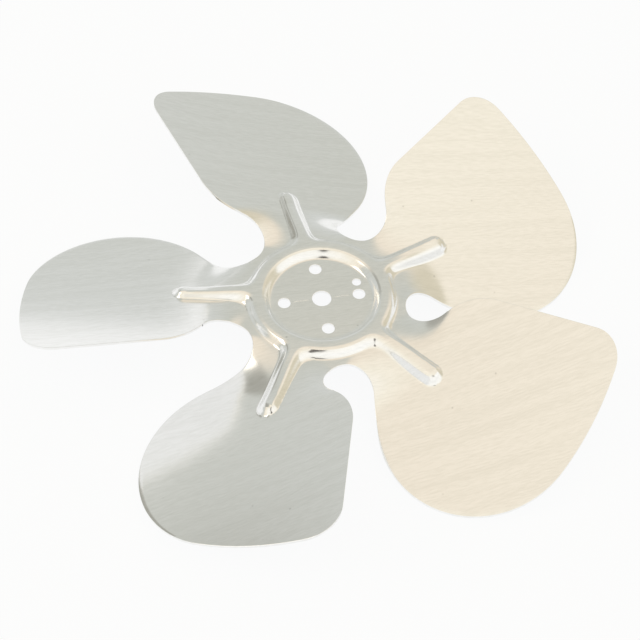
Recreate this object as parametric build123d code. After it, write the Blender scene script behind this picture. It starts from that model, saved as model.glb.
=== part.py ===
from build123d import *
import os
from math import atan2, ceil, cos, degrees, hypot, radians, sin, sqrt, tan

# Axial fan impeller, pressed from one flat aluminium blank.
# It is one sheet of even thickness with a flat hub disc, a raised ring bead,
# and five blades, each with a raised radial rib, a pitch and a camber.
# Frame: the origin is the centre of the bore on the hub's rear face, +Z is the
# bore's axis, towards the side that the bead and the ribs stand out on, and
# blade 0 points along +X. Sizes are in millimetres and degrees.

# ---- sheet and blade ring
sheet = 1.0
blade_count = 5
tip_radius = 100.0

# ---- hub: bore, bolt circle, locating hole and ring bead
bore_diameter = 6.4
bolt_circle = 25.4
bolt_diameter = 4.2
bolt_count = 4
bolt_angle = -166.5
locating_diameter = 3.0
locating_circle = 27.6
locating_angle = -144.7
bead_inner_radius = 16.8
bead_outer_radius = 25.7
bead_height = 2.6
inner_flank = 3.6
outer_flank = 3.4

# ---- rib, pressed with the bead and as high, along each blade's middle
rib_width = 8.0
rib_end_radius = 50.5
root_fillet = 7.0

# ---- blade form: the ramp out of the hub plane, pitch, camber and droop
ramp_inner_radius = 22.0
ramp_outer_radius = 46.0
pitch_angle = 22.5
camber_radius = 262.0
droop_slope = 0.037
droop_radius = 60.0
droop_depth = 2.6

# ---- blank outline in one blade's frame: straight edges as heading and offset
# A heading is the edge's direction of travel, anticlockwise round the blank.
# An offset is how far the edge lies to the left of the origin.
trailing_heading = -44.6
trailing_offset = 13.6
leading_heading = 195.7
leading_offset = -15.2
neck_heading = 255.0
neck_offset = 31.6
trailing_corner_radius = 33.0
leading_corner_radius = 10.4
shoulder_radius = 18.2
notch_radius = 8.4

# ---- where the pressed sheet is cut into equal sectors, and how finely it is lofted
sector_angle = 360.0 / blade_count
section_count = 36
seam_lead = -2 * sector_angle / section_count
seat_margin = 1.2
join_gap = 0.005
web_margin = 5.0
overrun = 1.03
foot_pitch = 0.9
bead_pitch = 1.15
web_pitch = 2.0
rib_pitch = 3.5
rib_end_pitch = 1.2
blade_pitch = 18.0


def polar(radius, angle):
    """Point in the blank's plane at a radius and an angle."""
    return Vector(radius * cos(radians(angle)), radius * sin(radians(angle)), 0)


def left_of(heading):
    """Unit vector to the left of a heading."""
    return polar(1, heading + 90)


def angle_of(vector):
    """Direction of a plane vector, in degrees."""
    return degrees(atan2(vector.Y, vector.X))


# ======================================================= outline of the blank


def centre_between(heading_a, offset_a, heading_b, offset_b, reach):
    """Centre of the circle that lies a signed reach to the left of two straight edges."""
    a, b = left_of(heading_a), left_of(heading_b)
    da, db = offset_a + reach, offset_b + reach
    det = a.X * b.Y - a.Y * b.X
    return Vector((da * b.Y - db * a.Y) / det, (a.X * db - b.X * da) / det, 0)


def centre_at_tip(heading, offset, radius, way):
    """Centre of a corner circle inside the tip circle, tangent to it and to an edge."""
    side = offset + radius
    along = sqrt((tip_radius - radius) ** 2 - side**2)
    return left_of(heading) * side + polar(1, heading) * (way * along)


def arc_edge(centre, radius, start, turn):
    """Arc about a centre from a start angle through a signed turn."""
    points = [centre + polar(radius, start + turn * part) for part in (0, 0.5, 1)]
    return Edge.make_three_point_arc(*points)


def blade_outline():
    """Edges of the blank from one notch to the next, anticlockwise round blade 0."""
    trailing_centre = centre_at_tip(trailing_heading, trailing_offset, trailing_corner_radius, 1)
    leading_centre = centre_at_tip(leading_heading, leading_offset, leading_corner_radius, -1)
    shoulder_centre = centre_between(
        leading_heading, leading_offset, neck_heading, neck_offset, shoulder_radius
    )
    next_heading = trailing_heading + sector_angle
    notch_centre = centre_between(
        neck_heading, neck_offset, next_heading, trailing_offset, -notch_radius
    )
    last_notch_centre = notch_centre.rotate(Axis.Z, -sector_angle)

    trailing_start = last_notch_centre + left_of(trailing_heading) * notch_radius
    trailing_end = trailing_centre - left_of(trailing_heading) * trailing_corner_radius
    leading_start = leading_centre - left_of(leading_heading) * leading_corner_radius
    leading_end = shoulder_centre - left_of(leading_heading) * shoulder_radius
    neck_start = shoulder_centre - left_of(neck_heading) * shoulder_radius
    neck_end = notch_centre + left_of(neck_heading) * notch_radius

    tip_start = angle_of(trailing_centre)
    tip_end = angle_of(leading_centre)
    trailing_turn = tip_start - (trailing_heading - 90)
    leading_turn = (leading_heading - 90) - tip_end
    notch_turn = next_heading - (neck_heading % 360)
    return [
        Edge.make_line(trailing_start, trailing_end),
        arc_edge(trailing_centre, trailing_corner_radius, trailing_heading - 90, trailing_turn),
        arc_edge(Vector(0, 0, 0), tip_radius, tip_start, tip_end - tip_start),
        arc_edge(leading_centre, leading_corner_radius, tip_end, leading_turn),
        Edge.make_line(leading_start, leading_end),
        arc_edge(
            shoulder_centre, shoulder_radius, leading_heading - 90, neck_heading - leading_heading
        ),
        Edge.make_line(neck_start, neck_end),
        arc_edge(notch_centre, notch_radius, neck_heading + 90, notch_turn),
    ], notch_centre


def blank_face():
    """The flat blank's outline, all blades in one wire, as a face."""
    edges, _ = blade_outline()
    turns = [edge.rotate(Axis.Z, sector_angle * k) for k in range(blade_count) for edge in edges]
    return Face(Wire(turns))


# ============================================== pressed form of the mid-surface


def ease(part):
    """Smooth step from 0 to 1 with level ends."""
    part = min(max(part, 0.0), 1.0)
    return part**3 * (10 - 15 * part + 6 * part * part)


def joined(a, b):
    """Distance to the nearer of two raised forms, rounded where they meet in plan."""
    near = max(root_fillet - abs(a - b), 0.0) / root_fillet
    return min(a, b) - root_fillet * near**3 / 6


def web_radius():
    """Radius up to which the web between two blades stays in the hub plane.

    It lies well outside the deepest point of the notch, so that the sheet is
    level along the whole seam between two sectors.
    """
    _, notch_centre = blade_outline()
    return notch_centre.length - notch_radius + web_margin


flat_web = web_radius()


def ramp_part(radius, angle):
    """How far the sheet has left the hub plane: 0 at the hub, 1 on the blade proper."""
    to_seam = min(abs(angle - seam_lead) / (sector_angle / 2), 1.0)
    start = ramp_inner_radius + (flat_web - ramp_inner_radius) * to_seam**4
    return ease((radius - start) / (ramp_outer_radius - start))


def blade_height(x, y):
    """Pitched and cambered blade, before the ramp brings it down to the hub plane."""
    droop = droop_depth + droop_slope * (x - droop_radius)
    return tan(radians(pitch_angle)) * y + y * y / (2 * camber_radius) - droop


def relief(x, y):
    """Height of the bead and the ribs, one level-topped form, over the plain form.

    The form falls off in an even flank, outwards from the outline of its top and
    inwards to the hub's disc.
    """
    radius = hypot(x, y)
    top_radius = bead_outer_radius - outer_flank
    along_rib = min(max(x, top_radius), rib_end_radius - rib_width / 2)
    from_ring = radius - top_radius
    from_rib = hypot(x - along_rib, y) - (rib_width / 2 - outer_flank)
    outer = 1 - ease(joined(from_ring, from_rib) / outer_flank)
    inner = ease((radius - bead_inner_radius) / inner_flank)
    return bead_height * inner * outer


def height(radius, angle):
    """Height of the sheet's mid-surface over the hub's mid-plane, in blade 0's frame."""
    x, y = radius * cos(radians(angle)), radius * sin(radians(angle))
    return ramp_part(radius, angle) * blade_height(x, y) + relief(x, y)


def skin_point(radius, angle, side):
    """Point half a sheet above (side 1) or below (side -1) the mid-surface, in the radial plane.

    A radial cut through a sheet that also climbs round the axis is longer than the
    sheet is thick, so the half thickness grows with the climb.
    """
    step = 1e-4
    slope = (height(radius + step, angle) - height(radius - step, angle)) / (2 * step)
    climb = (height(radius, angle + step) - height(radius, angle - step)) / (2 * step)
    climb = climb / (radius * radians(1))
    in_plane = 1 + slope * slope
    half = sheet / 2 * sqrt(in_plane + climb * climb) / in_plane
    lift = sheet / 2 + height(radius, angle) + side * half
    return polar(radius - side * half * slope, angle) + Vector(0, 0, lift)


# ======================================================== the sheet as a solid


def spread(start, end, pitch):
    """Evenly spaced values from start up to, not including, end, no further apart than pitch."""
    count = max(ceil((end - start) / pitch), 1)
    return [start + (end - start) * i / count for i in range(count)]


def stations():
    """Radii of each section's points: close over bead, web and rib end, wide on the blade."""
    rib_top_end = rib_end_radius - rib_width / 2
    rim = tip_radius * overrun
    return (
        spread(bead_inner_radius - 2 * seat_margin, bead_inner_radius, foot_pitch)
        + spread(bead_inner_radius, bead_outer_radius, bead_pitch)
        + spread(bead_outer_radius, flat_web, web_pitch)
        + spread(flat_web, rib_top_end, rib_pitch)
        + spread(rib_top_end, rib_end_radius, rib_end_pitch)
        + spread(rib_end_radius, rim, blade_pitch)
        + [rim]
    )


def share(values):
    """Values as parts of the way from the first to the last."""
    return [(value - values[0]) / (values[-1] - values[0]) for value in values]


def section(angle):
    """Closed outline of the sheet, cut by the radial plane at an angle."""
    radii = stations()
    top, bottom = [
        Edge.make_spline([skin_point(r, angle, side) for r in radii], parameters=share(radii))
        for side in (1, -1)
    ]
    inner = Edge.make_line(bottom @ 0, top @ 0)
    outer = Edge.make_line(bottom @ 1, top @ 1)
    return Wire([top, outer, bottom, inner])


def sector():
    """One blade's share of the pressed sheet, lofted round the axis from seam to seam."""
    trailing_seam = seam_lead - sector_angle / 2
    step = sector_angle / section_count
    return Solid.make_loft([section(trailing_seam + step * i) for i in range(section_count + 1)])


def pressed_sheet():
    """All blades and the bead, blanked to the outline and joined at the seams."""
    tall = tip_radius
    blank = Solid.extrude(blank_face().translate((0, 0, -tall)), Vector(0, 0, 2 * tall))
    blade = (sector() & blank).solid()
    blades = [blade.rotate(Axis.Z, sector_angle * k) for k in range(blade_count)]
    return blades[0].fuse(*blades[1:], tol=join_gap)


def drill(diameter, place=Vector(0, 0, 0)):
    """Upright cylinder that passes right through the sheet at a place."""
    tall = 10 * sheet
    return Solid.make_cylinder(diameter / 2, 2 * tall, Plane(place - Vector(0, 0, tall)))


def hub_holes():
    """Drills for the bore, the bolt circle and the locating hole."""
    pitch = 360.0 / bolt_count
    bolts = [polar(bolt_circle / 2, bolt_angle + pitch * k) for k in range(bolt_count)]
    locating = polar(locating_circle / 2, locating_angle)
    return (
        [drill(bore_diameter)]
        + [drill(bolt_diameter, place) for place in bolts]
        + [drill(locating_diameter, locating)]
    )


def impeller():
    """The whole impeller: a true flat disc joined into the pressed sheet, then drilled."""
    seat_radius = bead_inner_radius - seat_margin
    ring = pressed_sheet() - drill(2 * seat_radius)
    return ring.fuse(Solid.make_cylinder(seat_radius, sheet), tol=join_gap).cut(*hub_holes())


os.makedirs("parts", exist_ok=True)
whole = impeller()
body = whole.solid()
body.label = "impeller"
export_step(body, "parts/impeller.step")
print("impeller", len(whole.solids()), "solid", round(body.volume, 1), "mm3", body.bounding_box())
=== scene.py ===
"""Dresses the pressed aluminium axial fan impeller over its CAD frame.

The impeller is one sheet, 1 mm thick: a flat hub disc with a ring bead, and five
blades with a raised rib, a pitch and a camber. Sizes of the object are in
millimetres, as a maker would give them, and become metres when a mesh is made.
"""

from __future__ import annotations

import logging
import math
from collections.abc import Callable
from dataclasses import dataclass, field
from enum import Enum
from typing import Any

import bpy
import numpy as np
from mathutils import Matrix, Vector
from mathutils.geometry import delaunay_2d_cdt

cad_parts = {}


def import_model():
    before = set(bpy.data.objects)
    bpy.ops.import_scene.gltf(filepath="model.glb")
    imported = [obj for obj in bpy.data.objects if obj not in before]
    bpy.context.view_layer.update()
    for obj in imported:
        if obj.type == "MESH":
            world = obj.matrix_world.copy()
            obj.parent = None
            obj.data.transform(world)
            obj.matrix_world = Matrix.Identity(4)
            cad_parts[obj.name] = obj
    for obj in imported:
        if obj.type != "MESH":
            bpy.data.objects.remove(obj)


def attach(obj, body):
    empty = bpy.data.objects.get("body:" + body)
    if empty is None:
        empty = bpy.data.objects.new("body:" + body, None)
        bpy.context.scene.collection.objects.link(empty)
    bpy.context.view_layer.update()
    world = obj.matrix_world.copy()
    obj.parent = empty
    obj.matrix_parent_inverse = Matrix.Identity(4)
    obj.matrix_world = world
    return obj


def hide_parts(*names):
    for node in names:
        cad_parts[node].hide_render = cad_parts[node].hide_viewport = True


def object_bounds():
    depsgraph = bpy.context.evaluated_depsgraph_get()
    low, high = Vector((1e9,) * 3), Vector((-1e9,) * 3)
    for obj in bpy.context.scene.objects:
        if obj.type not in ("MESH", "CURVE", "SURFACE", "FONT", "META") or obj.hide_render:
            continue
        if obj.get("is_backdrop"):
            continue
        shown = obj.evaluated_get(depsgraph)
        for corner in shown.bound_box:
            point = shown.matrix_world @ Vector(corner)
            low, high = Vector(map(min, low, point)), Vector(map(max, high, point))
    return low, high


log = logging.getLogger("impeller")

MM = 0.001
WHITE = (1.0, 1.0, 1.0, 1.0)
ARC_STEPS = 400

# numbers of the colour sockets on Blender's Mix node
MIX_FIRST = 6
MIX_SECOND = 7
MIX_RESULT = 2


class Skin(Enum):
    """The two faces of the sheet; the value is the side of the mid-surface."""

    FRONT = 1
    REAR = -1


# ------------------------------------------------------------------ small helpers


def linear(colour: str) -> tuple[float, float, float, float]:
    """Turns an sRGB hex colour into linear values.

    Args:
        colour: Six hex digits after a hash.

    Returns:
        Linear red, green, blue and an alpha of 1.
    """
    parts = np.array([int(colour[i : i + 2], 16) for i in (1, 3, 5)]) / 255
    values = np.where(parts <= 0.04045, parts / 12.92, ((parts + 0.055) / 1.055) ** 2.4)
    return (*map(float, values), 1.0)


def unit(heading: Any) -> Any:
    """Unit vector at a heading in degrees, as a complex number x + iy."""
    return np.exp(1j * np.radians(heading))


def heading_of(place: complex) -> float:
    """Heading of a point seen from the origin, in degrees."""
    return float(np.degrees(np.angle(place)))


def add_node(
    tree: bpy.types.NodeTree,
    kind: str,
    settings: dict[str, Any] | None = None,
    inputs: dict[Any, Any] | None = None,
) -> bpy.types.Node:
    """Adds a node, sets its properties, and fills or links its inputs.

    Args:
        tree: The node tree it goes into.
        kind: The node's type name.
        settings: Properties of the node itself.
        inputs: Value, or output socket to link from, for each input by name or number.

    Returns:
        The new node.
    """
    node = tree.nodes.new(kind)
    for name, value in (settings or {}).items():
        setattr(node, name, value)
    for key, value in (inputs or {}).items():
        if isinstance(value, bpy.types.NodeSocket):
            tree.links.new(value, node.inputs[key])
        else:
            node.inputs[key].default_value = value
    return node


def calculate(tree: bpy.types.NodeTree, operation: str, *values: Any) -> bpy.types.NodeSocket:
    """Result of one operation on values or sockets."""
    return add_node(tree, "ShaderNodeMath", {"operation": operation}, dict(enumerate(values))).outputs[0]


def mix_colours(tree: bpy.types.NodeTree, share: Any, first: Any, second: Any) -> bpy.types.NodeSocket:
    """Colour that holds a share of the second colour and the rest of the first."""
    inputs = {"Factor": share, MIX_FIRST: first, MIX_SECOND: second}
    return add_node(tree, "ShaderNodeMix", {"data_type": "RGBA"}, inputs).outputs[MIX_RESULT]


def ramp(
    tree: bpy.types.NodeTree, fac: bpy.types.NodeSocket, stops: dict[float, Any]
) -> bpy.types.NodeSocket:
    """Colour ramp through given stops.

    Args:
        tree: The node tree.
        fac: What the ramp reads.
        stops: Linear colour, or one grey value, at each place from 0 to 1.

    Returns:
        The ramp's colour output.
    """
    node = add_node(tree, "ShaderNodeValToRGB", inputs={"Fac": fac})
    elements = node.color_ramp.elements
    places = sorted(stops)
    while len(elements) < len(places):
        elements.new(0.5)
    for element, place in zip(elements, places):
        value = stops[place]
        element.position = place
        element.color = value if isinstance(value, tuple) else (value, value, value, 1.0)
    return node.outputs["Color"]


# ------------------------------------------------------------- shape of the sheet


@dataclass(frozen=True)
class Blank:
    """Outline of the flat blank, for the blade that points along +X.

    A straight edge is a heading, anticlockwise round the blank, and an offset to
    the left of the bore's axis. Round stretches are arcs tangent to their neighbours.
    """

    blades: int = 5
    tip_radius: float = 100.0
    trailing_heading: float = -44.6
    trailing_offset: float = 13.6
    leading_heading: float = 195.7
    leading_offset: float = -15.2
    neck_heading: float = 255.0
    neck_offset: float = 31.6
    trailing_corner: float = 33.0
    leading_corner: float = 10.4
    shoulder: float = 18.2
    notch: float = 8.4

    @property
    def pitch(self) -> float:
        """Angle from one blade to the next, in degrees."""
        return 360.0 / self.blades

    def centre_between(
        self, edge: tuple[float, float], other: tuple[float, float], reach: float
    ) -> complex:
        """Centre of a circle a signed reach to the left of two edges, each (heading, offset)."""
        lefts = np.array([[unit(h + 90).real, unit(h + 90).imag] for h, _ in (edge, other)])
        x, y = np.linalg.solve(lefts, [edge[1] + reach, other[1] + reach])
        return complex(x, y)

    def centre_at_tip(self, heading: float, offset: float, radius: float, way: int) -> complex:
        """Centre of a corner circle inside the tip circle, tangent to it and to an edge."""
        side = offset + radius
        along = way * math.sqrt((self.tip_radius - radius) ** 2 - side**2)
        return unit(heading + 90) * side + unit(heading) * along

    @property
    def notch_centre(self) -> complex:
        """Centre of the notch that follows the blade."""
        after = (self.trailing_heading + self.pitch, self.trailing_offset)
        return self.centre_between((self.neck_heading, self.neck_offset), after, -self.notch)

    def web_radius(self, inset: float = 0.0) -> float:
        """Radius of the notch's deepest point, with the outline moved inwards by inset."""
        return abs(self.notch_centre) - self.notch - inset

    @staticmethod
    def arc(centre: complex, radius: float, start: float, turn: float) -> np.ndarray:
        """Dense points on an arc: centre + radius e^(i a), a from start through turn degrees."""
        return centre + radius * unit(start + turn * np.linspace(0, 1, ARC_STEPS))

    @staticmethod
    def even(path: np.ndarray, count: int) -> np.ndarray:
        """Points at equal arc lengths on a path, ends included."""
        run = np.concatenate([[0], np.cumsum(np.abs(np.diff(path)))])
        return np.interp(np.linspace(0, run[-1], count), run, path)

    def trailing_side(self, count: int, inset: float) -> np.ndarray:
        """Edge from the notch before the blade to the tip arc's start.

        Args:
            count: How many points.
            inset: How far the outline is moved inwards, for the rounded edge.

        Returns:
            Points as complex numbers, from the notch's deepest point outwards.
        """
        last_notch = self.notch_centre * unit(-self.pitch)
        deepest = heading_of(last_notch) + 180
        notch_turn = -((deepest - (self.trailing_heading + 90)) % 360)
        corner = self.centre_at_tip(self.trailing_heading, self.trailing_offset, self.trailing_corner, 1)
        corner_turn = heading_of(corner) - (self.trailing_heading - 90)
        path = np.concatenate(
            [
                self.arc(last_notch, self.notch + inset, deepest, notch_turn),
                self.arc(corner, self.trailing_corner - inset, self.trailing_heading - 90, corner_turn),
            ]
        )
        return self.even(path, count)

    def leading_side(self, count: int, inset: float) -> np.ndarray:
        """Edge from the notch after the blade to the tip arc's end.

        Args:
            count: How many points.
            inset: How far the outline is moved inwards, for the rounded edge.

        Returns:
            Points as complex numbers, from the notch's deepest point outwards.
        """
        corner = self.centre_at_tip(self.leading_heading, self.leading_offset, self.leading_corner, -1)
        corner_start = heading_of(corner)
        shoulder = self.centre_between(
            (self.leading_heading, self.leading_offset), (self.neck_heading, self.neck_offset), self.shoulder
        )
        deepest = heading_of(self.notch_centre) + 180
        corner_turn = self.leading_heading - 90 - corner_start
        shoulder_turn = self.neck_heading - self.leading_heading
        notch_turn = -((self.neck_heading + 90 - deepest) % 360)
        path = np.concatenate(
            [
                self.arc(corner, self.leading_corner - inset, corner_start, corner_turn),
                self.arc(shoulder, self.shoulder - inset, self.leading_heading - 90, shoulder_turn),
                self.arc(self.notch_centre, self.notch + inset, self.neck_heading + 90, notch_turn),
            ]
        )
        return self.even(path[::-1], count)


@dataclass(frozen=True)
class PressedForm:
    """Height of the sheet's mid-surface over the hub's mid-plane."""

    blank: Blank = field(default_factory=Blank)
    bead_inner: float = 16.8
    bead_outer: float = 25.7
    bead_height: float = 2.6
    inner_flank: float = 3.6
    outer_flank: float = 3.4
    rib_width: float = 8.0
    rib_end: float = 50.5
    root_fillet: float = 7.0
    ramp_inner: float = 22.0
    ramp_outer: float = 46.0
    web_margin: float = 5.0
    seam_lead: float = -4.0
    pitch_angle: float = 22.5
    camber_radius: float = 262.0
    droop_slope: float = 0.037
    droop_radius: float = 60.0
    droop_depth: float = 2.6

    @staticmethod
    def ease(part: np.ndarray) -> np.ndarray:
        """Smooth step with level ends: 6p^5 - 15p^4 + 10p^3, p held between 0 and 1."""
        part = np.clip(part, 0, 1)
        return part**3 * (10 - 15 * part + 6 * part * part)

    def turned(self, place: np.ndarray) -> np.ndarray:
        """Points turned by whole blade pitches into the nearest blade's own frame."""
        half = self.blank.pitch / 2
        angle = np.degrees(np.angle(place)) - self.seam_lead
        angle = (angle + half) % self.blank.pitch - half + self.seam_lead
        return np.abs(place) * unit(angle)

    def relief(self, place: np.ndarray) -> np.ndarray:
        """Height of bead and ribs, one level-topped form, over the plain sheet.

        d is the distance out of the top's outline: min(ring, rib) - f n^3 / 6, with
        n = max(f - |ring - rib|, 0) / f, which rounds the roots of the ribs by f.
        The form is height ease((r - inner) / flank) (1 - ease(d / flank)).

        Args:
            place: Points in the plane, as complex numbers.

        Returns:
            Heights in millimetres.
        """
        own = self.turned(place)
        ring_top = self.bead_outer - self.outer_flank
        rib_end = self.rib_end - self.rib_width / 2
        from_axis = np.hypot(own.real - np.clip(own.real, ring_top, rib_end), own.imag)
        ring = np.abs(place) - ring_top
        rib = from_axis - self.rib_width / 2 + self.outer_flank
        near = np.clip(self.root_fillet - np.abs(ring - rib), 0, None) / self.root_fillet
        beyond = np.minimum(ring, rib) - self.root_fillet * near**3 / 6
        inner = self.ease((np.abs(place) - self.bead_inner) / self.inner_flank)
        return self.bead_height * inner * (1 - self.ease(beyond / self.outer_flank))

    def plain(self, place: np.ndarray) -> np.ndarray:
        """Height of the sheet without bead and ribs.

        In its own frame a blade is tan(pitch) y + y^2 / 2R - droop, eased in from the
        hub's plane between the ramp's radii, and the web between blades stays level.

        Args:
            place: Points in the plane, as complex numbers.

        Returns:
            Heights in millimetres.
        """
        own = self.turned(place)
        angle = np.degrees(np.angle(own))
        flat_web = self.blank.web_radius() + self.web_margin
        to_seam = np.clip(np.abs(angle - self.seam_lead) / (self.blank.pitch / 2), 0, 1)
        start = self.ramp_inner + (flat_web - self.ramp_inner) * to_seam**4
        ramp_part = self.ease((np.abs(place) - start) / (self.ramp_outer - start))
        droop = self.droop_depth + self.droop_slope * (own.real - self.droop_radius)
        camber = own.imag**2 / (2 * self.camber_radius)
        return ramp_part * (math.tan(math.radians(self.pitch_angle)) * own.imag + camber - droop)

    @staticmethod
    def slope(height: Callable[[np.ndarray], np.ndarray], place: np.ndarray) -> np.ndarray:
        """Slope of a height function, x part plus i times y part, by central differences."""
        step = 1e-3
        along_x = (height(place + step) - height(place - step)) / (2 * step)
        along_y = (height(place + 1j * step) - height(place - 1j * step)) / (2 * step)
        return along_x + 1j * along_y

    def skin(self, place: np.ndarray, sheet: float, side: Skin, drop: float = 0.0) -> np.ndarray:
        """Points of one face of the sheet.

        A point stands half a sheet off the mid-surface, along its normal: by
        half slope / n sideways and half / n upwards, with n = sqrt(1 + slope^2).
        The plain sheet's own slope only lifts it, by half n, so that cut edges
        stay upright over the blank's outline.

        Args:
            place: Points in the plane, as complex numbers.
            sheet: Thickness of the sheet.
            side: Which face.
            drop: How far the point lies under that face, for the rounded edge.

        Returns:
            Points in millimetres, with a last axis of x, y and z over the hub's rear face.
        """
        half = sheet / 2
        raised = self.slope(self.relief, place)
        steep = np.sqrt(1 + np.abs(raised) ** 2)
        lift = np.sqrt(1 + np.abs(self.slope(self.plain, place)) ** 2)
        moved = place - side.value * half * raised / steep
        level = half + self.plain(moved) + self.relief(place) + side.value * (half * lift / steep - drop)
        return np.stack([moved.real, moved.imag, level], axis=-1)


@dataclass(frozen=True)
class HubHoles:
    """Holes through the flat hub disc: bore, bolt circle and locating hole."""

    bore: float = 6.4
    bolt: float = 4.2
    bolt_circle: float = 25.4
    bolt_count: int = 4
    bolt_angle: float = -166.5
    locating: float = 3.0
    locating_circle: float = 27.6
    locating_angle: float = -144.7

    bore_points: int = 64
    bolt_points: int = 48
    locating_points: int = 36

    def circles(self) -> list[tuple[complex, float, int]]:
        """Centre, radius and number of edge points of each hole."""
        bolts = [
            (self.bolt_circle / 2 * unit(self.bolt_angle + turn), self.bolt / 2, self.bolt_points)
            for turn in 360 / self.bolt_count * np.arange(self.bolt_count)
        ]
        locating_centre = self.locating_circle / 2 * unit(self.locating_angle)
        locating = (locating_centre, self.locating / 2, self.locating_points)
        return [(0j, self.bore / 2, self.bore_points), *bolts, locating]


# ------------------------------------------------------------------------ finishes


@dataclass(frozen=True)
class RolledAluminium:
    """Mill-finish rolled aluminium sheet, pressed and left bare.

    Rolling leaves a fine straight grain in one direction over the whole blank, which
    gives satin streaks and a soft sheen. There are a few specks, and a scribed line
    runs through the bore. Sizes are in millimetres, and headings in degrees.
    """

    colour: str = "#F9F9F8"
    streak_colour: str = "#F2F2F0"
    streak_span: tuple[float, float] = (0.38, 0.6)
    roughness: float = 0.16
    satin_range: float = 0.06
    grain_heading: float = 16.0
    grain_width: float = 0.5
    grain_length: float = 3.0
    grain_share: float = 0.6
    grain_depth: float = 0.02
    grain_bump: float = 0.05
    band_width: float = 3.0
    band_length: float = 70.0
    noise_detail: float = 3.0
    through_sheet: float = 50.0
    speck_spacing: float = 9.0
    speck_colour: str = "#8E8C88"
    speck_share: float = 0.25
    speck_edge: tuple[float, float] = (0.03, 0.05)
    scribe_heading: float = 13.5
    scribe_width: float = 0.3
    scribe_roughness: float = 0.45
    scribe_reach: tuple[float, float] = (4.4, 9.4)

    def streaks(
        self, tree: bpy.types.NodeTree, coords: bpy.types.NodeSocket, width: float, length: float
    ) -> bpy.types.NodeSocket:
        """Noise drawn out along the grain: one cell is width by length in millimetres."""
        mapping = add_node(
            tree,
            "ShaderNodeMapping",
            {"vector_type": "TEXTURE"},
            {
                "Vector": coords,
                "Rotation": (0.0, 0.0, math.radians(self.grain_heading)),
                "Scale": (length * MM, width * MM, self.through_sheet * width * MM),
            },
        )
        inputs = {"Vector": mapping.outputs[0], "Scale": 1.0, "Detail": self.noise_detail}
        return add_node(tree, "ShaderNodeTexNoise", inputs=inputs).outputs["Fac"]

    def specks(self, tree: bpy.types.NodeTree, coords: bpy.types.NodeSocket) -> bpy.types.NodeSocket:
        """Share of speck: 1 in a small dot in each cell, and 0 round it."""
        inputs = {"Vector": coords, "Scale": 1 / (self.speck_spacing * MM)}
        reach = add_node(tree, "ShaderNodeTexVoronoi", inputs=inputs).outputs["Distance"]
        core, rim = self.speck_edge
        return ramp(tree, reach, {0.0: 1.0, core: 1.0, rim: 0.0})

    def scribe(self, tree: bpy.types.NodeTree, coords: bpy.types.NodeSocket) -> bpy.types.NodeSocket:
        """Share of the scribed line: 1 on the line, either side of the bore, and 0 off it."""
        rotation = (0.0, 0.0, math.radians(-self.scribe_heading))
        turned = add_node(tree, "ShaderNodeMapping", inputs={"Vector": coords, "Rotation": rotation})
        split = add_node(tree, "ShaderNodeSeparateXYZ", inputs={0: turned.outputs[0]})
        along = calculate(tree, "ABSOLUTE", split.outputs["X"])
        across = calculate(tree, "ABSOLUTE", split.outputs["Y"])
        near, far = (reach * MM for reach in self.scribe_reach)
        past_bore = calculate(tree, "GREATER_THAN", along, near)
        before_end = calculate(tree, "LESS_THAN", along, far)
        on_run = calculate(tree, "MULTIPLY", past_bore, before_end)
        on_line = calculate(tree, "LESS_THAN", across, self.scribe_width / 2 * MM)
        return calculate(tree, "MULTIPLY", on_run, on_line)

    def build(self) -> bpy.types.Material:
        """Makes the material.

        Returns:
            The new material.
        """
        material = bpy.data.materials.new("rolled_aluminium")
        material.use_nodes = True
        tree = material.node_tree
        tree.nodes.clear()
        coords = add_node(tree, "ShaderNodeTexCoord").outputs["Object"]

        grain = self.streaks(tree, coords, self.grain_width, self.grain_length)
        bands = self.streaks(tree, coords, self.band_width, self.band_length)
        band_part = calculate(tree, "MULTIPLY", bands, 1 - self.grain_share)
        shade = calculate(tree, "MULTIPLY_ADD", grain, self.grain_share, band_part)
        dull, bright = self.streak_span
        colour = ramp(tree, shade, {dull: linear(self.streak_colour), bright: linear(self.colour)})
        speck = calculate(tree, "MULTIPLY", self.specks(tree, coords), self.speck_share)
        speckled = mix_colours(tree, speck, colour, linear(self.speck_colour))

        smoothest = self.roughness - self.satin_range / 2
        satin = calculate(tree, "MULTIPLY_ADD", shade, self.satin_range, smoothest)
        scribe = self.scribe(tree, coords)
        roughness = calculate(tree, "MULTIPLY_ADD", scribe, self.scribe_roughness, satin)
        bump = add_node(
            tree,
            "ShaderNodeBump",
            inputs={"Strength": self.grain_bump, "Distance": self.grain_depth * MM, "Height": grain},
        )
        shader = add_node(
            tree,
            "ShaderNodeBsdfPrincipled",
            inputs={
                "Base Color": speckled,
                "Metallic": 1.0,
                "Roughness": roughness,
                "Normal": bump.outputs[0],
            },
        )
        add_node(tree, "ShaderNodeOutputMaterial", inputs={"Surface": shader.outputs[0]})
        return material


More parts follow.
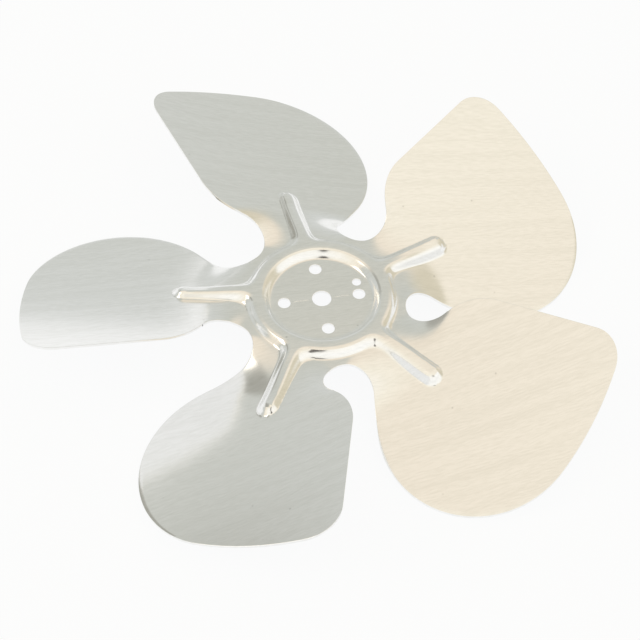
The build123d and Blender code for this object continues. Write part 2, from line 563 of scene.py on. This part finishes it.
@dataclass(frozen=True)
class StudioPaper:
    """Matt white paper that the object lies on, lifted by its glow towards plain white."""

    colour: str = "#EEF5FB"
    glow: float = 0.9

    def build(self) -> bpy.types.Material:
        """Makes the material, whose glow only the camera, metal and glass see.

        The rest of the paper's look is its own shading, which keeps the object's shadow.

        Returns:
            The new material.
        """
        material = bpy.data.materials.new("studio_paper")
        material.use_nodes = True
        tree = material.node_tree
        tree.nodes.clear()
        rays = add_node(tree, "ShaderNodeLightPath").outputs
        mirrored = calculate(tree, "MAXIMUM", rays["Is Glossy Ray"], rays["Is Transmission Ray"])
        seen = calculate(tree, "MAXIMUM", rays["Is Camera Ray"], mirrored)
        share = calculate(tree, "MULTIPLY", seen, self.glow)
        paper = add_node(tree, "ShaderNodeBsdfDiffuse", inputs={"Color": linear(self.colour)})
        white = add_node(tree, "ShaderNodeEmission", inputs={"Color": WHITE, "Strength": 1.0})
        mixed = add_node(
            tree, "ShaderNodeMixShader", inputs={0: share, 1: paper.outputs[0], 2: white.outputs[0]}
        )
        add_node(tree, "ShaderNodeOutputMaterial", inputs={"Surface": mixed.outputs[0]})
        return material


# ------------------------------------------------------------------ the impeller


@dataclass
class Impeller:
    """The one-piece pressed impeller: its mesh and its finish."""

    blank: Blank = field(default_factory=Blank)
    form: PressedForm = field(default_factory=PressedForm)
    holes: HubHoles = field(default_factory=HubHoles)
    finish: RolledAluminium = field(default_factory=RolledAluminium)
    sheet: float = 1.0
    edge_round: float = 0.12
    disc_radius: float = 16.0
    ring_rows: int = 24
    blade_rows: int = 84
    half_columns: int = 40
    row_pack: float = 0.45
    column_pack: float = 0.6
    crease_angle: float = 20.0

    def across(self) -> np.ndarray:
        """Column places from -1 at the trailing side to 1 at the leading side."""
        return np.linspace(-1, 1, 2 * self.half_columns + 1)

    def blade_plan(self, inset: float) -> np.ndarray:
        """Grid of one blade with its share of the ring, as complex numbers.

        Rows run from the disc's edge out to the tip, and columns from the trailing
        side to the leading side. On the blade, a row joins two points at equal parts
        of the two sides. Its angle grows as (1 - c) |t| + c t^2 from the rib's line,
        with c the column pack. Its radius on that line grows as p (1 - r + r p) from the
        web to the rim, with r the row pack, and bends by t^2 to the sides' own radii.

        Args:
            inset: How far the outline is moved inwards.

        Returns:
            Array of rows by columns.
        """
        t = self.across()
        trail = self.blank.trailing_side(self.blade_rows + 1, inset)[:, None]
        lead = self.blank.leading_side(self.blade_rows + 1, inset)[:, None]
        part = np.linspace(0, 1, self.blade_rows + 1)[:, None]
        web = self.blank.web_radius(inset)
        rim = self.blank.tip_radius - inset
        even = web + (rim - web) * part * (1 - self.row_pack + self.row_pack * part)
        own_side = np.where(t < 0, np.abs(trail), np.abs(lead))
        radius = even + (own_side - even) * t**2
        pack = (1 - self.column_pack) * np.abs(t) + self.column_pack * t**2
        angle = np.where(t < 0, np.angle(trail), np.angle(lead)) * pack
        blade = radius * np.exp(1j * angle)

        ring_part = np.linspace(0, 1, self.ring_rows + 1)[:-1, None]
        ring = (self.disc_radius + (web - self.disc_radius) * ring_part) * np.exp(1j * angle[:1])
        return np.concatenate([ring, blade])

    def rounding(self) -> list[tuple[float, float]]:
        """Rings of the rounded cut edge, each as (inset, drop), from a face to the wall."""
        turns = np.radians([0, 45, 90])
        return [(self.edge_round * (1 - math.sin(a)), self.edge_round * (1 - math.cos(a))) for a in turns]

    def rings(self, plan: Callable[[float], np.ndarray]) -> np.ndarray:
        """Rings of points that carry the rounded edge's profile along an outline.

        Args:
            plan: Function from an inset to the outline's points.

        Returns:
            Array of rings by points by 3, from the front face's edge to the rear one's.
        """
        front = []
        rear = []
        for inset, drop in self.rounding():
            line = plan(inset)
            front.append(self.form.skin(line, self.sheet, Skin.FRONT, drop))
            rear.insert(0, self.form.skin(line, self.sheet, Skin.REAR, drop))
        return np.array(front + rear)

    @staticmethod
    def quads(shape: tuple[int, int]) -> np.ndarray:
        """Corner indices of the faces of a grid of rows by columns of points."""
        index = np.arange(shape[0] * shape[1]).reshape(shape)
        corners = [index[:-1, :-1], index[1:, :-1], index[1:, 1:], index[:-1, 1:]]
        return np.stack(corners, axis=-1).reshape(-1, 4)

    def blade_outline(self, inset: float) -> np.ndarray:
        """Points round one blade: up its trailing side, along the tip and back down."""
        grid = self.blade_plan(inset)[self.ring_rows :]
        return np.concatenate([grid[:, 0], grid[-1, 1:-1], grid[::-1, -1]])

    def disc_plan(self) -> tuple[np.ndarray, np.ndarray]:
        """Triangles of the flat disc, between its rim and its holes.

        Returns:
            Points as complex numbers, and corner indices of the triangles.
        """
        angles = np.angle(self.blade_plan(0.0)[0, :-1])
        turns = np.radians(self.blank.pitch) * np.arange(self.blank.blades)
        loops = [self.disc_radius * np.exp(1j * (angles + turns[:, None]).ravel())]
        for centre, radius, count in self.holes.circles():
            loops.append(centre + (radius + self.edge_round) * unit(360 * np.arange(count) / count))
        starts = np.cumsum([0] + [len(loop) for loop in loops])
        edges = [
            (int(a + k), int(a + (k + 1) % (b - a)))
            for a, b in zip(starts[:-1], starts[1:])
            for k in range(b - a)
        ]
        points = np.concatenate(loops)
        inside_edges = 1
        merge_distance = 1e-6
        flat, _, faces, *_ = delaunay_2d_cdt(
            [Vector((p.real, p.imag)) for p in points], edges, [], inside_edges, merge_distance
        )
        place = np.array([complex(p.x, p.y) for p in flat])
        corners = np.array(faces)
        kept = np.ones(len(corners), bool)
        for centre, radius, count in self.holes.circles():
            # a triangle is in the sheet if its middle lies beyond the hole's nearest chord
            middle = place[corners].mean(axis=1) - centre
            turn = 2 * math.pi / count
            beyond = np.abs(middle) * np.cos(np.angle(middle) % turn - turn / 2)
            kept &= beyond > (radius + self.edge_round) * math.cos(turn / 2)
        return place, corners[kept]

    def mesh(self) -> bpy.types.Mesh:
        """Builds the closed skin of the sheet.

        Returns:
            The mesh, in metres.
        """
        points: list[np.ndarray] = []
        faces: list[np.ndarray] = []

        def add(xyz: np.ndarray, corners: np.ndarray) -> None:
            """Adds a patch, with corner indices counted within the patch."""
            faces.append(corners + sum(len(p) for p in points))
            points.append(xyz.reshape(-1, 3))

        plan = self.blade_plan(self.edge_round)
        corners = self.quads(plan.shape)
        turns = [unit(self.blank.pitch * k) for k in range(self.blank.blades)]
        for turn in turns:
            for side in Skin:
                skin = self.form.skin(plan * turn, self.sheet, side)
                add(skin, corners if side is Skin.FRONT else corners[:, ::-1])
            wall = self.rings(lambda inset: self.blade_outline(inset) * turn)
            add(wall, self.quads(wall.shape[:2]))
        for centre, radius, count in self.holes.circles():
            circle = unit(360 * np.arange(count + 1) / count)
            wall = self.rings(lambda inset: centre + (radius + inset) * circle)
            add(wall, self.quads(wall.shape[:2])[:, ::-1])
        place, corners = self.disc_plan()
        corners = np.concatenate([corners, corners[:, -1:]], axis=1)
        for side in Skin:
            level = self.sheet if side is Skin.FRONT else 0.0
            xyz = np.stack([place.real, place.imag, np.full(place.shape, level)], axis=-1)
            add(xyz, corners if side is Skin.FRONT else corners[:, ::-1])

        # like points are one vertex, so that the skin is closed
        everything = np.concatenate(points)
        _, first, same = np.unique(
            np.round(everything, decimals=4), axis=0, return_index=True, return_inverse=True
        )
        joined = same.reshape(-1)[np.concatenate(faces)]
        polygons = [list(dict.fromkeys(face)) for face in joined.tolist()]
        mesh = bpy.data.meshes.new("impeller_sheet")
        whole = [polygon for polygon in polygons if len(polygon) > 2]
        mesh.from_pydata((everything[first] * MM).tolist(), [], whole)
        mesh.validate()
        mesh.polygons.foreach_set("use_smooth", [True] * len(mesh.polygons))
        mesh.set_sharp_from_angle(angle=math.radians(self.crease_angle))
        mesh.update()
        return mesh

    def build(self) -> bpy.types.Object:
        """Makes the finished piece, which stands for the CAD node of the same name.

        Returns:
            The new object.
        """
        piece = bpy.data.objects.new("impeller_sheet", self.mesh())
        bpy.context.scene.collection.objects.link(piece)
        piece.data.materials.append(self.finish.build())
        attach(piece, "root")
        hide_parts("impeller")
        log.info("impeller sheet: %d faces", len(piece.data.polygons))
        return piece


# ---------------------------------------------------------------------- the studio


@dataclass(frozen=True)
class Drape:
    """Soft-edged oval in the dome that takes the colour of what hangs there.

    Tilt is the angle from overhead towards the camera, and side the angle to its right.
    """

    tint: str
    tilt: float
    side: float
    half_tilt: float
    half_side: float
    softness: float = 0.3

    def cover(
        self, tree: bpy.types.NodeTree, tilt: bpy.types.NodeSocket, side: bpy.types.NodeSocket
    ) -> bpy.types.NodeSocket:
        """How much of a direction's light is the drape's.

        Args:
            tree: The world's node tree.
            tilt: Tilt of the direction.
            side: Side angle of the direction.

        Returns:
            Share that falls smoothly from 1 within the oval to 0 beyond its soft edge.
        """
        off_tilt = calculate(tree, "DIVIDE", calculate(tree, "SUBTRACT", tilt, self.tilt), self.half_tilt)
        off_side = calculate(tree, "DIVIDE", calculate(tree, "SUBTRACT", side, self.side), self.half_side)
        pair = add_node(tree, "ShaderNodeCombineXYZ", inputs={0: off_tilt, 1: off_side})
        reach = add_node(tree, "ShaderNodeVectorMath", {"operation": "LENGTH"}, {0: pair.outputs[0]})
        edge = add_node(
            tree,
            "ShaderNodeMapRange",
            {"interpolation_type": "SMOOTHSTEP"},
            {
                "Value": reach.outputs["Value"],
                "From Min": 1 - self.softness,
                "From Max": 1 + self.softness,
                "To Min": 1.0,
                "To Max": 0.0,
            },
        )
        return edge.outputs[0]


@dataclass
class Studio:
    """Plain white floor, a soft dome of light, one soft box, and the camera.

    Places of the floor and the lamp are in metres, the view's distance and shift in
    millimetres, angles in degrees, and the focal length in pixels of the frame.
    """

    paper: StudioPaper = field(default_factory=StudioPaper)
    floor_level: float = 0.0
    floor_half: float = 3.0
    view_elevation: float = 52.496
    view_azimuth: float = 91.8
    view_roll: float = -2.275
    view_distance: float = 622.7
    view_shift: tuple[float, float] = (0.575, 7.23)
    focal_pixels: float = 1862.0
    frame_pixels: float = 640.0
    sensor_width: float = 36.0
    clip_start: float = 0.01
    clip_end: float = 50.0
    lamp_place: tuple[float, float, float] = (0.9, 0.22, 0.75)
    lamp_size: float = 0.5
    lamp_energy: float = 1.1
    lamp_colour: str = "#FFF6EA"
    dome_strength: float = 1.09
    room_turn: float = 28.0
    drapes: tuple[Drape, ...] = (
        Drape("#403A36", tilt=47.0, side=0.0, half_tilt=10.0, half_side=7.0),
        Drape("#A2A199", tilt=-33.0, side=-44.0, half_tilt=32.0, half_side=8.5),
        Drape("#D3CBB6", tilt=-42.0, side=72.0, half_tilt=46.0, half_side=38.0, softness=0.25),
    )
    dome: dict[float, str] = field(
        default_factory=lambda: {
            -90: "#CED0CD",
            -34: "#C3C4BC",
            -22: "#EADFCE",
            20: "#F3ECDC",
            70: "#FDFCF8",
            94: "#DCDCDA",
        }
    )

    def build_floor(self) -> bpy.types.Object:
        """Square floor that the blades' lowest edges stand on."""
        half = self.floor_half
        mesh = bpy.data.meshes.new("floor")
        square = [(-half, -half), (half, -half), (half, half), (-half, half)]
        corners = [(x, y, self.floor_level) for x, y in square]
        mesh.from_pydata(corners, [], [(0, 1, 2, 3)])
        floor = bpy.data.objects.new("floor", mesh)
        bpy.context.scene.collection.objects.link(floor)
        floor.data.materials.append(self.paper.build())
        floor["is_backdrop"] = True
        return floor

    def build_dome(self) -> None:
        """World light, in bands from the wall behind the object over the ceiling to the camera.

        The band of a direction is its tilt from overhead, atan2(towards the room's near
        wall, up), and the room is turned by room_turn from the camera's heading. There
        is a grey wall behind, a warm pale ceiling, and white round the camera, whose own
        dark body stands in it. Drapes tint the sides.
        """
        world = bpy.data.worlds.new("studio_dome")
        bpy.context.scene.world = world
        world.use_nodes = True
        tree = world.node_tree
        tree.nodes.clear()
        way = add_node(tree, "ShaderNodeTexCoord").outputs["Generated"]
        up = add_node(tree, "ShaderNodeSeparateXYZ", inputs={0: way}).outputs["Z"]

        def along(azimuth: float) -> bpy.types.NodeSocket:
            """Part of the direction along a level heading, given in degrees."""
            heading = unit(azimuth)
            level = (float(heading.real), float(heading.imag), 0.0)
            dot = add_node(tree, "ShaderNodeVectorMath", {"operation": "DOT_PRODUCT"}, {0: way, 1: level})
            return dot.outputs["Value"]

        def degrees(operation: str, *values: Any) -> bpy.types.NodeSocket:
            """Angle from an inverse function of one or two values, in degrees."""
            return calculate(tree, "DEGREES", calculate(tree, operation, *values))

        tilt = degrees("ARCTAN2", along(self.view_azimuth), up)
        side = degrees("ARCSINE", along(self.view_azimuth + 90))
        room_tilt = degrees("ARCTAN2", along(self.view_azimuth + self.room_turn), up)
        part = add_node(
            tree, "ShaderNodeMapRange", inputs={"Value": room_tilt, "From Min": -180.0, "From Max": 180.0}
        )
        bands = {(at + 180) / 360: linear(tone) for at, tone in self.dome.items()}
        colour = ramp(tree, part.outputs[0], bands)
        for drape in self.drapes:
            colour = mix_colours(tree, drape.cover(tree, tilt, side), colour, linear(drape.tint))
        light = add_node(
            tree, "ShaderNodeBackground", inputs={"Color": colour, "Strength": self.dome_strength}
        )
        add_node(tree, "ShaderNodeOutputWorld", inputs={"Surface": light.outputs[0]})

    def build_lamp(self) -> None:
        """Soft box on the camera's left, which lights the flanks that face it."""
        lamp = bpy.data.lights.new("soft_box", "AREA")
        lamp.shape = "SQUARE"
        lamp.size = self.lamp_size
        lamp.energy = self.lamp_energy
        lamp.color = linear(self.lamp_colour)[:3]
        soft_box = bpy.data.objects.new("soft_box", lamp)
        bpy.context.scene.collection.objects.link(soft_box)
        place = Vector(self.lamp_place)
        turn = (-place).to_track_quat("-Z", "Y").to_matrix().to_4x4()
        soft_box.matrix_world = Matrix.Translation(place) @ turn

    def build_camera(self, aim: Vector) -> bpy.types.Object:
        """Camera at the fitted place.

        Args:
            aim: The point on the object that the view's distance and shift refer to.

        Returns:
            The camera.
        """
        azimuth = math.radians(self.view_azimuth)
        elevation = math.radians(self.view_elevation)
        roll = math.radians(self.view_roll)
        far = Vector((-math.cos(azimuth), -math.sin(azimuth), 0))
        flat_right = Vector((far.y, -far.x, 0))
        ahead = far * math.cos(elevation) - Vector((0, 0, math.sin(elevation)))
        level_up = far * math.sin(elevation) + Vector((0, 0, math.cos(elevation)))
        right = flat_right * math.cos(roll) - level_up * math.sin(roll)
        up = flat_right * math.sin(roll) + level_up * math.cos(roll)
        shift_right, shift_up = self.view_shift
        place = aim - (right * shift_right + up * shift_up + ahead * self.view_distance) * MM

        data = bpy.data.cameras.new("camera")
        data.sensor_width = self.sensor_width
        data.lens = self.focal_pixels / self.frame_pixels * data.sensor_width
        data.clip_start = self.clip_start
        data.clip_end = self.clip_end
        camera = bpy.data.objects.new("camera", data)
        bpy.context.scene.collection.objects.link(camera)
        turn = Matrix((right, up, -ahead)).transposed()
        camera.matrix_world = Matrix.Translation(place) @ turn.to_4x4()
        bpy.context.scene.camera = camera
        return camera


def main() -> None:
    """Loads the frame, builds and dresses the impeller, and sets up the studio."""
    logging.basicConfig(level=logging.INFO, format="%(name)s: %(message)s")
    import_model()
    cad_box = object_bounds()
    impeller = Impeller()
    impeller.build()

    studio = Studio(floor_level=float(cad_box[0][2]))
    studio.build_floor()
    studio.build_dome()
    studio.build_lamp()
    studio.build_camera(Vector((0, 0, impeller.sheet * MM)))
    bpy.context.scene.view_settings.view_transform = "Standard"

    bpy.context.view_layer.update()


if __name__ == "__main__":
    main()
